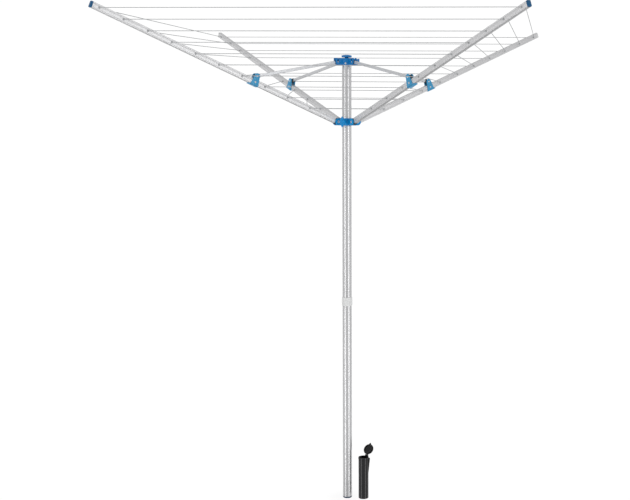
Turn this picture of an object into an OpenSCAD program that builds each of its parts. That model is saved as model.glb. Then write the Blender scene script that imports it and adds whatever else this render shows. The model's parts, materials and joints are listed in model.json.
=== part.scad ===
// Rotary clothesline on a two-part pole. Four arms rise outward from a lower hub that slides on
// the pole, struts tie them to the hub at the top, and one long line is threaded through them.
// A loose ground socket with a hinged lid stands beside the pole.
// Origin: the centre of the pole's foot, on the ground. +Z runs up the pole, and the arms lie on
// the diagonals of X and Y. Everything is drawn with the clothesline open.

/* [Pole] */
// Outer diameter of both pole tubes
pole_d = 50; // [40:0.5:60]
// Wall of the pole tubes
pole_wall = 1.5; // [1:0.1:2.5]
// Height of the joint between the two pole tubes
split_z = 1099; // [800:1:1350]
// Height of the foot cap under the lower tube
foot_h = 9; // [6:0.5:20]
// Height of the coupling's outer collar
collar_h = 46; // [20:1:80]
// Wall of the coupling's outer collar
collar_wall = 3.2; // [2:0.1:6]
// Length of the coupling's spigot in each tube
spigot_len = 90; // [40:5:150]

/* [Hubs] */
// Height of the arm pivots with the clothesline open
arm_pivot_z = 2067; // [1700:1:2500]
// Height of the strut pivots above the arm pivots with the clothesline open
hub_gap = 313; // [280:1:400]
// Distance of every hub pivot from the pole's axis
pivot_r = 62; // [58:0.5:75]
// Height of the lower hub
lower_hub_h = 38; // [32:1:60]
// Height of the top hub
top_hub_h = 35; // [32:1:50]
// Wall of both hub sleeves around the pole
hub_wall = 9; // [6:0.5:12]
// Thickness of each ear that carries an arm
arm_ear = 5.5; // [4:0.1:8]
// Thickness of each ear that carries a strut
strut_ear = 5; // [3:0.1:7]
// Diameter of the mushroom cap on the top hub
cap_d = 54; // [40:1:60]
// Height of the mushroom cap's head
cap_h = 13; // [8:0.5:20]
// Diameter of the mushroom cap's neck
neck_d = 20; // [12:0.5:30]
// Height of the mushroom cap's neck above the top hub
neck_h = 6; // [3:0.5:15]
// Radius of the arm pivot rivets
rivet_r = 3.5; // [2.5:0.1:5]

/* [Clamp] */
// Direction of the clamp knob around the pole, in degrees from +X
knob_az = 262; // [256:1:284]
// Height of the knob's wings from tip to tip
knob_span = 61; // [40:1:61]
// Width of the knob's wings
knob_w = 31; // [20:1:40]
// Thickness of the knob's wings
knob_t = 8; // [5:0.5:12]
// Distance from the pole's axis to the back of the knob's wings
knob_seat = 72; // [70:0.5:80]
// Radius of the knob's threaded stud
stud_r = 4; // [3:0.1:5]

/* [Arms] */
// Length of an arm from its pivot to its tip
arm_len = 1430; // [1200:1:1800]
// Rise of the open arms above the horizontal, in degrees
arm_rise = 21.5; // [15:0.1:28]
// Height of the arm's section
arm_h = 30; // [25:0.5:36]
// Width of the arm's section
arm_w = 20; // [16:0.5:26]
// Wall of the arm's tube
arm_wall = 1.2; // [0.8:0.1:2]
// Length of the end caps beyond the tube
arm_cap = 10; // [6:0.5:16]
// Depth of the plugs at the pole end of the arms and in the pole's foot
plug_depth = 35; // [15:1:60]

/* [Struts] */
// Height of the strut's section
strut_h = 15; // [12:0.5:18]
// Width of the strut's section
strut_w = 10; // [8:0.5:12]
// Wall of the strut's tube
strut_wall = 1.2; // [0.8:0.1:1.5]
// Radius of the strut's pivot pins
strut_pin_r = 3.2; // [2.5:0.1:4]
// Height of the strut's outer pivot above the arm's axis
strut_rise = 31.9; // [28:0.1:40]
// Length of the brackets along the arm
bracket_len = 46; // [38:1:56]
// Thickness of the bracket plates
bracket_t = 4; // [3:0.1:6]
// Distance from a bracket's pivot to the next line hole outside it
bracket_to_hole = 78.3; // [45:0.1:85]

/* [Line] */
// Diameter of the clothesline
line_d = 3.5; // [2.5:0.1:4]
// Number of rings of line
rings = 10; // [8:1:12]
// Distance from the arm's pivot to the innermost line hole
inner_hole = 189; // [150:0.5:230]
// Distance from the arm's tip to the outermost line hole
tip_margin = 42; // [30:0.5:60]
// How much the spacing of the line holes grows from one to the next, going inwards
pitch_growth = 2.56; // [0:0.02:4]
// Radius of an eyelet's flange
eyelet_r = 6; // [5:0.1:8]

/* [Ground socket] */
// Distance from the pole's axis to the ground socket's axis
socket_x = 90; // [75:1:140]
// Height of the ground socket
socket_h = 232; // [180:1:320]
// Wall of the ground socket
socket_wall = 2; // [1.6:0.1:4]
// How far the socket's fin stands out at the top
fin_w = 8; // [5:0.5:12]
// Height of the socket's fin
fin_h = 77; // [40:1:120]
// Direction of the lid's hinge around the socket, in degrees from +X
lid_az = 68; // [50:1:75]
// Angle of the open lid from closed, in degrees
lid_open = 125; // [90:1:140]

/* [Hidden] */
$fn = 48;

// Directions of the arms around the pole
BACK_RIGHT = 45;
BACK_LEFT = 135;
FRONT_LEFT = 225;
FRONT_RIGHT = 315;
ARM_DIRS = [BACK_RIGHT, BACK_LEFT, FRONT_LEFT, FRONT_RIGHT];

// Clearances: a pin that turns or a hub that slides, and faces that only pass each other
run_gap = 0.05;
free_gap = 0.3;
side_gap = 0.5;
// How far a cut runs past the face it opens, and how far a shape reaches into the one it joins
cut = 1;
bite = 1;

// Pole
pole_r = pole_d/2;
pole_bore_r = pole_r - pole_wall;
web_t = 4;
collar_r = pole_r + free_gap + collar_wall;
collar_z0 = split_z - collar_h/2;
// The lower tube is drawn down by this much where the collar grips it
tube_neck = 0.5;
foot_edge = 5;
spigot_wall = 3.5;

// Hubs
strut_pivot_z = arm_pivot_z + hub_gap;
hub_r = pole_r + hub_wall;
top_hub_roof = 8;
pivot_drop = 2.5;
top_hub_z1 = strut_pivot_z + top_hub_h/2 + pivot_drop;
top_hub_z0 = top_hub_z1 - top_hub_h;
pole_top_z = top_hub_z1 - top_hub_roof;
root_r = arm_h/2;
arm_ear_r = lower_hub_h/2;
arm_ear_in = arm_w/2 + side_gap;
arm_ear_out = arm_ear_in + arm_ear;
strut_end_w = strut_w + 2;
strut_end_r = strut_h/2 + 1.5;
strut_ear_in = strut_end_w/2 + side_gap;
strut_ear_out = strut_ear_in + strut_ear;
strut_ear_r = 13;
strut_pin_end = 1.5;
strut_pin_len = 2*(strut_ear_out + strut_pin_end);
slot_flare = 0.42;
rivet_head_r = rivet_r + 3;
rivet_head = 2;
cap_stem_r = neck_d/2 - 3;
cap_rise = 4;
cap_dome_r = (cap_d*cap_d/4 + cap_rise*cap_rise) / (2*cap_rise);
top_rivet_z = top_hub_z0 + 8;

// Clamp
shoe_w = 13;
shoe_t = 5;
shoe_back = pole_r + free_gap + shoe_t;
shoe_travel = 1.2;
stud_socket = 3;
stud_nose_r = stud_r - 1;
boss_r = 11;
boss_end = knob_seat - 20;
// The knob's hub stands out behind and in front of its wings, whose tips are cut round
knob_hub_r = 10;
knob_back = 6;
knob_front = 4;
knob_tip_cut = 1.5;

// Arms and line holes
arm_corner = 3;
ear_reach = arm_ear_r + 1;
outer_hole = arm_len - tip_margin;
// The end cap's plug stops this far short of the first eyelets
plug_gap = 4;
cap_plug = tip_margin - arm_cap - eyelet_r - plug_gap;
gaps = rings - 1;
mean_pitch = (outer_hole - inner_hole) / gaps;
bracket_ring = 7;
// Spacing runs evenly from narrow at the tip to wide at the root, around its mean
function hole_x(ring) = let (n = ring - 1)
    outer_hole - n*mean_pitch + pitch_growth*n*(gaps - n)/2;
function hole_r(ring) = pivot_r + hole_x(ring)*cos(arm_rise);
function hole_z(ring) = arm_pivot_z + hole_x(ring)*sin(arm_rise);
line_r = line_d/2;
eyelet_bore = line_r + 0.65;
eyelet_barrel = eyelet_r - 2;
eyelet_t = 1.2;
eyelet_depth = arm_wall + 1.6;
line_out = arm_w/2 + eyelet_t + line_r + 1;
knot_r = 4.2;
CORD_SIDES = 8;

// Struts and brackets: the outer pivot's place fixes the strut's length and slope
bracket_x = hole_x(bracket_ring) - bracket_to_hole;
bracket_in = arm_w/2;
bracket_out = bracket_in + bracket_t;
bracket_base = arm_h/2;
bracket_top_r = 15;
bracket_foot = 9;
bracket_floor = 3.5;
outer_end_w = arm_w - 0.8;
outer_end_r = 10;
strut_dx = bracket_x*cos(arm_rise) - strut_rise*sin(arm_rise);
strut_dz = bracket_x*sin(arm_rise) + strut_rise*cos(arm_rise) - hub_gap;
strut_len = norm([strut_dx, strut_dz]);
strut_drop = -atan2(strut_dz, strut_dx);
inner_end_len = 14;
outer_end_len = 17;
strut_plug = 20;
strut_corner = 2;
arm_bolt_r = 2.6;
bolt_head_r = 5;
bolt_head = 1.6;

// Ground socket and lid
socket_bore_r = pole_r + 0.4;
socket_r = socket_bore_r + socket_wall;
socket_floor = 5;
socket_foot = 1.5;
drain_r = 6;
rim_h = 12;
rim_r = socket_r + 1.5;
// Above the ground the socket is a little thicker, from the foot of its fin up
shoulder = 0.3;
shoulder_z = socket_h - rim_h - fin_h;
fin_t = 6;
fin_top = 4;
lid_r = rim_r + 0.5;
lid_t = 3;
lid_ring_r = socket_bore_r - 0.8;
lid_ring_h = 6;
lid_ring_wall = 2.5;
lid_boss_r = 7;
lid_boss_h = 2;
lid_tab = 9;
lid_tab_w = 16;
lid_pin_r = 1.6;
lid_knuckle_r = 4;
lid_hinge_r = lid_r + lid_knuckle_r + free_gap;
lid_seat = 0.3;
lid_z = socket_h + lid_seat;
lid_hinge_z = lid_z + lid_t/2;
knuckle_w = 6;
knuckle_pitch = knuckle_w + free_gap;

// ---- shared shapes ----

// A rectangle with round corners, centred
module rounded_rect(a, b, r) {
    square([a - 2*r, b], center = true);
    square([a, b - 2*r], center = true);
    for (x = [-1, 1], y = [-1, 1]) translate([x*(a/2 - r), y*(b/2 - r)]) circle(r);
}

// A bar of round-cornered section along +X, h tall and w wide
module bar(x0, x1, h, w, r) {
    translate([x0, 0, 0]) rotate([0, 90, 0]) linear_extrude(x1 - x0) rounded_rect(h, w, r);
}

// A plate drawn in X and Z, from y0 to y0 + t
module plate(y0, t) {
    translate([0, y0 + t, 0]) rotate([90, 0, 0]) linear_extrude(t) children();
}

// A pair of plates on both sides of the XZ plane
module plate_pair(inner, t) {
    plate(inner, t) children();
    plate(-inner - t, t) children();
}

// A pin along Y through the given point, with a head at each end where head is over 0
module cross_pin(x, z, r, length, head_r = 0, head = 0) {
    translate([x, length/2, z]) rotate([90, 0, 0]) {
        cylinder(r = r, h = length);
        if (head > 0) {
            translate([0, 0, -head]) cylinder(r = head_r, h = head);
            translate([0, 0, length]) cylinder(r = head_r, h = head);
        }
    }
}

// Frames: around the pole, along an open arm, and along a strut from its inner pivot
module around(dir) { rotate([0, 0, dir]) children(); }
module on_arm(dir) {
    around(dir) translate([pivot_r, 0, arm_pivot_z]) rotate([0, -arm_rise, 0]) children();
}
module on_strut(dir) {
    around(dir) translate([pivot_r, 0, strut_pivot_z]) rotate([0, strut_drop, 0]) children();
}

// ---- pole ----

module lower_tube() {
    color("silver") difference() {
        union() {
            translate([0, 0, foot_h]) cylinder(r = pole_r, h = collar_z0 - foot_h);
            translate([0, 0, collar_z0])
                cylinder(r = pole_r - tube_neck, h = split_z - web_t/2 - collar_z0);
        }
        translate([0, 0, foot_h - cut]) cylinder(r = pole_bore_r, h = split_z);
    }
}

module foot_cap() {
    color("midnightblue") union() {
        rotate_extrude() {
            square([pole_r - foot_edge, foot_h]);
            translate([0, foot_edge]) square([pole_r, foot_h - foot_edge]);
            intersection() {
                translate([pole_r - foot_edge, foot_edge]) circle(foot_edge);
                square([pole_r, foot_edge]);
            }
        }
        translate([0, 0, foot_h]) cylinder(r = pole_bore_r, h = plug_depth);
    }
}

module pole_coupling() {
    color("lightgray") translate([0, 0, split_z]) difference() {
        union() {
            translate([0, 0, -collar_h/2]) cylinder(r = collar_r, h = collar_h);
            translate([0, 0, -spigot_len]) cylinder(r = pole_bore_r, h = spigot_len);
            cylinder(r = pole_bore_r - run_gap, h = spigot_len);
        }
        // Seats of the two tubes between collar and spigot: tight below, turning above
        difference() {
            translate([0, 0, -collar_h])
                cylinder(r = pole_r - tube_neck, h = collar_h - web_t/2);
            translate([0, 0, -collar_h - cut]) cylinder(r = pole_bore_r, h = collar_h + cut);
        }
        difference() {
            translate([0, 0, web_t/2]) cylinder(r = pole_r + free_gap, h = collar_h);
            cylinder(r = pole_bore_r - run_gap, h = 2*collar_h);
        }
        translate([0, 0, -spigot_len - cut])
            cylinder(r = pole_bore_r - spigot_wall, h = 2*(spigot_len + cut));
    }
}

module upper_tube() {
    tube_z0 = split_z + web_t/2 + free_gap;
    color("silver") difference() {
        translate([0, 0, tube_z0]) cylinder(r = pole_r, h = pole_top_z - tube_z0);
        translate([0, 0, split_z]) cylinder(r = pole_bore_r, h = pole_top_z);
        cross_pin(0, top_rivet_z, arm_bolt_r, 2*hub_r);
    }
}

// ---- top hub ----

// Outline of an ear that carries a strut, from the pivot: open at the top and flared towards the
// pole, so that the strut's pin can lift out while the arms fold
module strut_ear_outline() {
    lift = top_hub_z1 - strut_pivot_z + cut;
    seat_r = strut_pin_r + free_gap;
    difference() {
        union() {
            translate([pole_r + bite - pivot_r, top_hub_z0 - strut_pivot_z])
                square([pivot_r - pole_r, top_hub_h]);
            circle(strut_ear_r);
            square([strut_ear_r, lift - cut]);
        }
        circle(seat_r);
        polygon([[-seat_r, 0], [seat_r, 0], [seat_r, lift], [-seat_r - slot_flare*lift, lift]]);
    }
}

module top_hub() {
    color("royalblue") difference() {
        union() {
            translate([0, 0, top_hub_z0]) cylinder(r = hub_r, h = top_hub_h);
            for (dir = ARM_DIRS) around(dir) translate([pivot_r, 0, strut_pivot_z])
                plate_pair(strut_ear_in, strut_ear) strut_ear_outline();
        }
        translate([0, 0, top_hub_z0 - cut]) cylinder(r = pole_r, h = pole_top_z - top_hub_z0 + cut);
        translate([0, 0, pole_top_z - cut]) cylinder(r = cap_stem_r, h = top_hub_roof + 2*cut);
        cross_pin(0, top_rivet_z, arm_bolt_r, 2*(hub_r + cut));
    }
}

// Rivet that holds the top hub on the upper tube
module top_hub_rivet() {
    color("gainsboro") cross_pin(0, top_rivet_z, arm_bolt_r, 2*hub_r, bolt_head_r, bolt_head);
}

module top_cap() {
    color("royalblue") translate([0, 0, top_hub_z1]) {
        translate([0, 0, -top_hub_roof]) cylinder(r = cap_stem_r, h = top_hub_roof);
        cylinder(r = neck_d/2, h = neck_h);
        translate([0, 0, neck_h]) rotate_extrude() intersection() {
            square([cap_d/2, cap_h]);
            translate([0, cap_h - cap_dome_r]) circle(cap_dome_r, $fn = 96);
        }
    }
}

// ---- lower hub and its clamp ----

module lower_hub() {
    color("royalblue") difference() {
        union() {
            translate([0, 0, arm_pivot_z - lower_hub_h/2]) cylinder(r = hub_r, h = lower_hub_h);
            for (dir = ARM_DIRS) around(dir) translate([pivot_r, 0, arm_pivot_z])
                plate_pair(arm_ear_in, arm_ear) {
                    circle(arm_ear_r);
                    translate([pole_r + bite - pivot_r, -lower_hub_h/2])
                        square([pivot_r - pole_r - bite, lower_hub_h]);
                }
            at_clamp(pole_r + bite) cylinder(r = boss_r, h = boss_end - pole_r - bite);
        }
        translate([0, 0, arm_pivot_z - lower_hub_h]) cylinder(r = pole_r + run_gap, h = 2*lower_hub_h);
        for (dir = ARM_DIRS) around(dir)
            cross_pin(pivot_r, arm_pivot_z, rivet_r, 2*(arm_ear_out + cut));
        at_clamp(pole_r) cylinder(r = stud_r + run_gap, h = boss_end);
        at_clamp(0) translate([-shoe_w/2 - free_gap, -shoe_w/2 - free_gap, 0])
            cube([shoe_w + 2*free_gap, shoe_w + 2*free_gap, shoe_back + shoe_travel + free_gap]);
    }
}

// Steel rivets on which the four arms turn
module arm_pivot_rivets() {
    color("gainsboro") for (dir = ARM_DIRS) around(dir)
        cross_pin(pivot_r, arm_pivot_z, rivet_r, 2*arm_ear_out, rivet_head_r, rivet_head);
}

// The clamp's own axis: +Z runs outwards from the pole, starting at the given distance
module at_clamp(start) {
    around(knob_az) translate([start, 0, arm_pivot_z]) rotate([0, 90, 0]) children();
}

// Pad that the stud presses against the pole
module clamp_shoe() {
    color("dimgray") difference() {
        at_clamp(pole_r - bite) translate([-shoe_w/2, -shoe_w/2, 0])
            cube([shoe_w, shoe_w, shoe_back - pole_r + bite]);
        translate([0, 0, arm_pivot_z - shoe_w]) cylinder(r = pole_r + free_gap, h = 2*shoe_w);
        at_clamp(shoe_back - stud_socket)
            cylinder(r = stud_nose_r + run_gap, h = stud_socket + cut);
    }
}

// Threaded stud: its turned-down nose turns in the shoe, and its tail is moulded into the knob
module clamp_stud() {
    color("gray") {
        at_clamp(shoe_back - stud_socket + free_gap) cylinder(r = stud_nose_r, h = stud_socket);
        at_clamp(shoe_back + free_gap) cylinder(r = stud_r, h = knob_seat - shoe_back);
    }
}

module clamp_knob() {
    color("royalblue") difference() {
        union() {
            at_clamp(knob_seat - knob_back)
                cylinder(r = knob_hub_r, h = knob_back + knob_t + knob_front);
            at_clamp(knob_seat) linear_extrude(knob_t) intersection() {
                polygon([[-knob_span/2, 0], [0, knob_w/2], [knob_span/2, 0], [0, -knob_w/2]]);
                circle(knob_span/2 - knob_tip_cut);
            }
        }
        at_clamp(0) cylinder(r = stud_r, h = knob_seat + free_gap);
    }
}

// ---- arms ----

module arm_tube(dir) {
    color("gainsboro") on_arm(dir) difference() {
        bar(ear_reach, arm_len - arm_cap, arm_h, arm_w, arm_corner);
        bar(0, arm_len, arm_h - 2*arm_wall, arm_w - 2*arm_wall, arm_corner - arm_wall);
        for (ring = [1:rings]) cross_pin(hole_x(ring), 0, eyelet_barrel, arm_w + 2*cut);
        cross_pin(bracket_x, 0, arm_bolt_r, arm_w + 2*cut);
    }
}

// Insert that carries the arm on its rivet
module arm_root(dir) {
    color("dimgray") on_arm(dir) difference() {
        union() {
            cross_pin(0, 0, root_r, arm_w);
            translate([0, -arm_w/2, -arm_h/2]) cube([ear_reach, arm_w, arm_h]);
            bar(ear_reach - bite, ear_reach + plug_depth, arm_h - 2*arm_wall, arm_w - 2*arm_wall,
                arm_corner - arm_wall);
        }
        cross_pin(0, 0, rivet_r + run_gap, arm_w + 2*cut);
    }
}

module arm_end_cap(dir) {
    color("royalblue") on_arm(dir) {
        bar(arm_len - arm_cap, arm_len, arm_h, arm_w, arm_corner);
        bar(arm_len - arm_cap - cap_plug, arm_len - arm_cap, arm_h - 2*arm_wall,
            arm_w - 2*arm_wall, arm_corner - arm_wall);
    }
}

// Push-in eyelet, its flange on the XY plane and its barrel below it
module eyelet() {
    rotate_extrude() polygon([[eyelet_bore, -eyelet_depth], [eyelet_barrel, -eyelet_depth],
        [eyelet_barrel, 0], [eyelet_r, 0], [eyelet_r, eyelet_t], [eyelet_bore, eyelet_t]]);
}

module eyelets(dir) {
    color("darkgray") on_arm(dir) for (ring = [1:rings], side = [-1, 1])
        translate([hole_x(ring), side*arm_w/2, 0]) rotate([-90*side, 0, 0]) eyelet();
}

// ---- brackets ----

// Saddle under the arm with two plates, open at the top and at both ends for the strut
module bracket(dir) {
    half = bracket_len/2;
    color("royalblue") on_arm(dir) difference() {
        translate([bracket_x, 0, 0]) {
            plate_pair(bracket_in, bracket_t) {
                translate([0, strut_rise]) circle(bracket_top_r);
                polygon([[-half, -bracket_base - bracket_floor], [half, -bracket_base - bracket_floor],
                    [bracket_top_r, strut_rise], [-bracket_top_r, strut_rise]]);
            }
            translate([-half, -bracket_out, -bracket_base - bracket_floor])
                cube([bracket_len + bracket_foot, 2*bracket_out, bracket_floor]);
        }
        cross_pin(bracket_x, 0, arm_bolt_r, 2*(bracket_out + cut));
        cross_pin(bracket_x, strut_rise, strut_pin_r, 2*(bracket_out + cut));
    }
}

// The rivet through the arm and, above it, the rivet on which the strut turns
module bracket_rivets(dir) {
    color("gainsboro") on_arm(dir) {
        cross_pin(bracket_x, 0, arm_bolt_r, 2*bracket_out, bolt_head_r, bolt_head);
        cross_pin(bracket_x, strut_rise, strut_pin_r, 2*bracket_out, bolt_head_r, bolt_head);
    }
}

// ---- struts ----

module strut_tube(dir) {
    color("gainsboro") on_strut(dir) difference() {
        bar(inner_end_len, strut_len - outer_end_len, strut_h, strut_w, strut_corner);
        bar(0, strut_len, strut_h - 2*strut_wall, strut_w - 2*strut_wall,
            strut_corner - strut_wall);
    }
}

// End that hangs in the top hub
module strut_inner_end(dir) {
    color("dimgray") on_strut(dir) difference() {
        union() {
            cross_pin(0, 0, strut_end_r, strut_end_w);
            translate([0, -strut_end_w/2, -strut_h/2]) cube([inner_end_len, strut_end_w, strut_h]);
            bar(inner_end_len - bite, inner_end_len + strut_plug, strut_h - 2*strut_wall,
                strut_w - 2*strut_wall, strut_corner - strut_wall);
        }
        cross_pin(0, 0, strut_pin_r, strut_end_w + 2*cut);
    }
}

// End that turns between the bracket's plates
module strut_outer_end(dir) {
    color("dimgray") on_strut(dir) difference() {
        union() {
            cross_pin(strut_len, 0, outer_end_r, outer_end_w);
            translate([strut_len - outer_end_len, -outer_end_w/2, -outer_end_r])
                cube([outer_end_len, outer_end_w, 2*outer_end_r]);
            bar(strut_len - outer_end_len - strut_plug, strut_len - outer_end_len + bite,
                strut_h - 2*strut_wall, strut_w - 2*strut_wall, strut_corner - strut_wall);
        }
        cross_pin(strut_len, 0, strut_pin_r + run_gap, outer_end_w + 2*cut);
    }
}

// Cross pin that rests in the top hub's slots
module strut_pin(dir) {
    color("gray") on_strut(dir) cross_pin(0, 0, strut_pin_r, strut_pin_len);
}

// ---- clothesline ----
// Drawn around each arm with X along the arm's direction, so that the next arm on the +Y side is
// the same drawing turned by 90 degrees. Every piece ends half-way to its neighbours.

function unit(v) = v / norm(v);
function flip_y(p) = [p[0], -p[1], p[2]];
function eye_plus(ring) = [hole_r(ring), line_out, hole_z(ring)];
function eye_minus(ring) = flip_y(eye_plus(ring));
// Where the line from this arm's ring to the other arm's ring crosses the plane between them
function half_way(ring, other) =
    let (from = eye_plus(ring), to = [line_out, hole_r(other), hole_z(other)],
        share = (hole_r(ring) - line_out) / (hole_r(ring) + hole_r(other) - 2*line_out))
    from + share*(to - from);

// Ring that the line goes on to: level on three sides, and one ring further in on the left side
function next_ring(dir, ring) = dir != BACK_LEFT || ring == 1 ? ring : ring + 1;
function last_ring(dir, ring) = dir != FRONT_LEFT || ring == 1 ? ring : ring - 1;

function cord_direction(path, i) =
    i == 0 ? unit(path[1] - path[0]) :
    i == len(path) - 1 ? unit(path[i] - path[i - 1]) :
    unit(unit(path[i] - path[i - 1]) + unit(path[i + 1] - path[i]));
function cord_ring(centre, along) =
    let (side = unit(cross(along, [0, 0, 1])), up = cross(side, along))
    [for (k = [0:CORD_SIDES - 1])
        centre + line_r*(cos(360*k/CORD_SIDES)*side + sin(360*k/CORD_SIDES)*up)];

module cord(path) {
    last = (len(path) - 1)*CORD_SIDES;
    polyhedron(
        points = [for (i = [0:len(path) - 1]) each cord_ring(path[i], cord_direction(path, i))],
        faces = [
            [for (k = [CORD_SIDES - 1:-1:0]) k],
            [for (k = [0:CORD_SIDES - 1]) last + k],
            for (i = [0:len(path) - 2], k = [0:CORD_SIDES - 1])
                [i*CORD_SIDES + k, i*CORD_SIDES + (k + 1) % CORD_SIDES,
                    (i + 1)*CORD_SIDES + (k + 1) % CORD_SIDES, (i + 1)*CORD_SIDES + k]
        ]);
}

module line(dir) {
    first = dir == FRONT_LEFT ? 3 : 1;
    last = dir == BACK_LEFT ? rings - 1 : rings;
    color("whitesmoke") around(dir) {
        for (ring = [first:last]) cord([flip_y(half_way(ring, last_ring(dir, ring))),
            eye_minus(ring), eye_plus(ring), half_way(ring, next_ring(dir, ring))]);
        if (dir == BACK_LEFT) {
            // The line's last end, knotted outside its eyelet
            knot = [hole_r(rings), arm_w/2 + eyelet_t + knot_r + run_gap, hole_z(rings)];
            cord([flip_y(half_way(rings, rings)), eye_minus(rings), knot]);
            translate(knot) sphere(knot_r);
        }
        if (dir == FRONT_LEFT) {
            // The line starts inside the arm, closes the outer ring and steps inside to ring 2
            cord([eye_plus(1) - [0, line_out - line_r, 0], eye_plus(1), half_way(1, 1)]);
            cord([flip_y(half_way(1, 1)), eye_minus(1), eye_minus(1) + [0, line_out - line_d, 0],
                eye_minus(2) + [0, line_out - line_d, 0], eye_plus(2), half_way(2, 2)]);
        }
    }
}

// ---- ground socket ----

// One of the two lugs that carry the lid, beside the socket's own XZ plane on the given side
module hinge_lug(side) {
    difference() {
        plate(side*knuckle_pitch - knuckle_w/2, knuckle_w) {
            translate([lid_hinge_r, lid_hinge_z]) circle(lid_knuckle_r);
            polygon([[rim_r - bite, socket_h - rim_h], [rim_r, socket_h - rim_h],
                [lid_hinge_r + lid_knuckle_r, lid_hinge_z],
                [lid_hinge_r - lid_knuckle_r, lid_hinge_z], [lid_hinge_r - lid_knuckle_r, socket_h],
                [rim_r - bite, socket_h]]);
        }
        cross_pin(lid_hinge_r, lid_hinge_z, lid_pin_r, 4*knuckle_w);
    }
}

module ground_socket() {
    color("dimgray") translate([socket_x, 0, 0]) difference() {
        union() {
            cylinder(r = socket_r - socket_foot, h = socket_foot);
            translate([0, 0, socket_foot]) cylinder(r = socket_r, h = socket_h - socket_foot);
            translate([0, 0, shoulder_z]) cylinder(r = socket_r + shoulder, h = rim_h + fin_h);
            translate([0, 0, socket_h - rim_h]) cylinder(r = rim_r, h = rim_h);
            plate(-fin_t/2, fin_t) polygon([[socket_r - bite, shoulder_z],
                [socket_r + shoulder, shoulder_z], [socket_r + fin_w, socket_h - rim_h],
                [socket_r + fin_w, socket_h - fin_top], [socket_r - bite, socket_h - fin_top]]);
            around(lid_az) for (side = [-1, 1]) hinge_lug(side);
        }
        translate([0, 0, socket_floor]) cylinder(r = socket_bore_r, h = socket_h);
        translate([0, 0, -cut]) cylinder(r = drain_r, h = socket_floor + 2*cut);
    }
}

module lid_hinge_pin() {
    color("gray") translate([socket_x, 0, 0]) around(lid_az)
        cross_pin(lid_hinge_r, lid_hinge_z, lid_pin_r, 3*knuckle_w + 2*free_gap);
}

// The lid, drawn closed around the socket's axis and then swung open on its hinge
module socket_lid() {
    color("dimgray") translate([socket_x, 0, 0]) around(lid_az)
        translate([lid_hinge_r, 0, lid_hinge_z]) rotate([0, lid_open, 0])
        translate([-lid_hinge_r, 0, -lid_hinge_z]) difference() {
            union() {
                translate([0, 0, lid_z]) cylinder(r = lid_r, h = lid_t);
                translate([0, 0, lid_z - lid_ring_h]) difference() {
                    cylinder(r = lid_ring_r, h = lid_ring_h + bite);
                    translate([0, 0, -cut])
                        cylinder(r = lid_ring_r - lid_ring_wall, h = lid_ring_h + cut);
                }
                translate([0, 0, lid_z - lid_boss_h]) cylinder(r = lid_boss_r, h = lid_boss_h + bite);
                translate([0, 0, lid_z]) linear_extrude(lid_t)
                    polygon([[bite - lid_r, -lid_tab_w/2], [bite - lid_r, lid_tab_w/2],
                        [-lid_r - lid_tab, 0]]);
                plate(-knuckle_w/2, knuckle_w) translate([lid_hinge_r, lid_hinge_z])
                    circle(lid_knuckle_r - lid_seat);
                translate([lid_r - knuckle_w/2, -knuckle_w/2, lid_z])
                    cube([lid_hinge_r - lid_r + knuckle_w/2, knuckle_w, lid_t]);
            }
            cross_pin(lid_hinge_r, lid_hinge_z, lid_pin_r + run_gap, 2*knuckle_w);
        }
}

lower_tube();
foot_cap();
pole_coupling();
upper_tube();
top_hub();
top_hub_rivet();
top_cap();
lower_hub();
arm_pivot_rivets();
clamp_shoe();
clamp_stud();
clamp_knob();
ground_socket();
lid_hinge_pin();
socket_lid();
arm_tube(FRONT_LEFT);  // arm_tube_front_left
arm_tube(FRONT_RIGHT);  // arm_tube_front_right
arm_tube(BACK_LEFT);  // arm_tube_back_left
arm_tube(BACK_RIGHT);  // arm_tube_back_right
arm_root(FRONT_LEFT);  // arm_root_front_left
arm_root(FRONT_RIGHT);  // arm_root_front_right
arm_root(BACK_LEFT);  // arm_root_back_left
arm_root(BACK_RIGHT);  // arm_root_back_right
arm_end_cap(FRONT_LEFT);  // arm_cap_front_left
arm_end_cap(FRONT_RIGHT);  // arm_cap_front_right
arm_end_cap(BACK_LEFT);  // arm_cap_back_left
arm_end_cap(BACK_RIGHT);  // arm_cap_back_right
bracket(FRONT_LEFT);  // bracket_front_left
bracket(FRONT_RIGHT);  // bracket_front_right
bracket(BACK_LEFT);  // bracket_back_left
bracket(BACK_RIGHT);  // bracket_back_right
bracket_rivets(FRONT_LEFT);  // bracket_rivets_front_left
bracket_rivets(FRONT_RIGHT);  // bracket_rivets_front_right
bracket_rivets(BACK_LEFT);  // bracket_rivets_back_left
bracket_rivets(BACK_RIGHT);  // bracket_rivets_back_right
eyelets(FRONT_LEFT);  // eyelets_front_left
eyelets(FRONT_RIGHT);  // eyelets_front_right
eyelets(BACK_LEFT);  // eyelets_back_left
eyelets(BACK_RIGHT);  // eyelets_back_right
line(FRONT_LEFT);  // line_front_left
line(FRONT_RIGHT);  // line_front_right
line(BACK_LEFT);  // line_back_left
line(BACK_RIGHT);  // line_back_right
strut_tube(FRONT_LEFT);  // strut_tube_front_left
strut_tube(FRONT_RIGHT);  // strut_tube_front_right
strut_tube(BACK_LEFT);  // strut_tube_back_left
strut_tube(BACK_RIGHT);  // strut_tube_back_right
strut_inner_end(FRONT_LEFT);  // strut_inner_end_front_left
strut_inner_end(FRONT_RIGHT);  // strut_inner_end_front_right
strut_inner_end(BACK_LEFT);  // strut_inner_end_back_left
strut_inner_end(BACK_RIGHT);  // strut_inner_end_back_right
strut_outer_end(FRONT_LEFT);  // strut_outer_end_front_left
strut_outer_end(FRONT_RIGHT);  // strut_outer_end_front_right
strut_outer_end(BACK_LEFT);  // strut_outer_end_back_left
strut_outer_end(BACK_RIGHT);  // strut_outer_end_back_right
strut_pin(FRONT_LEFT);  // strut_pin_front_left
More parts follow.
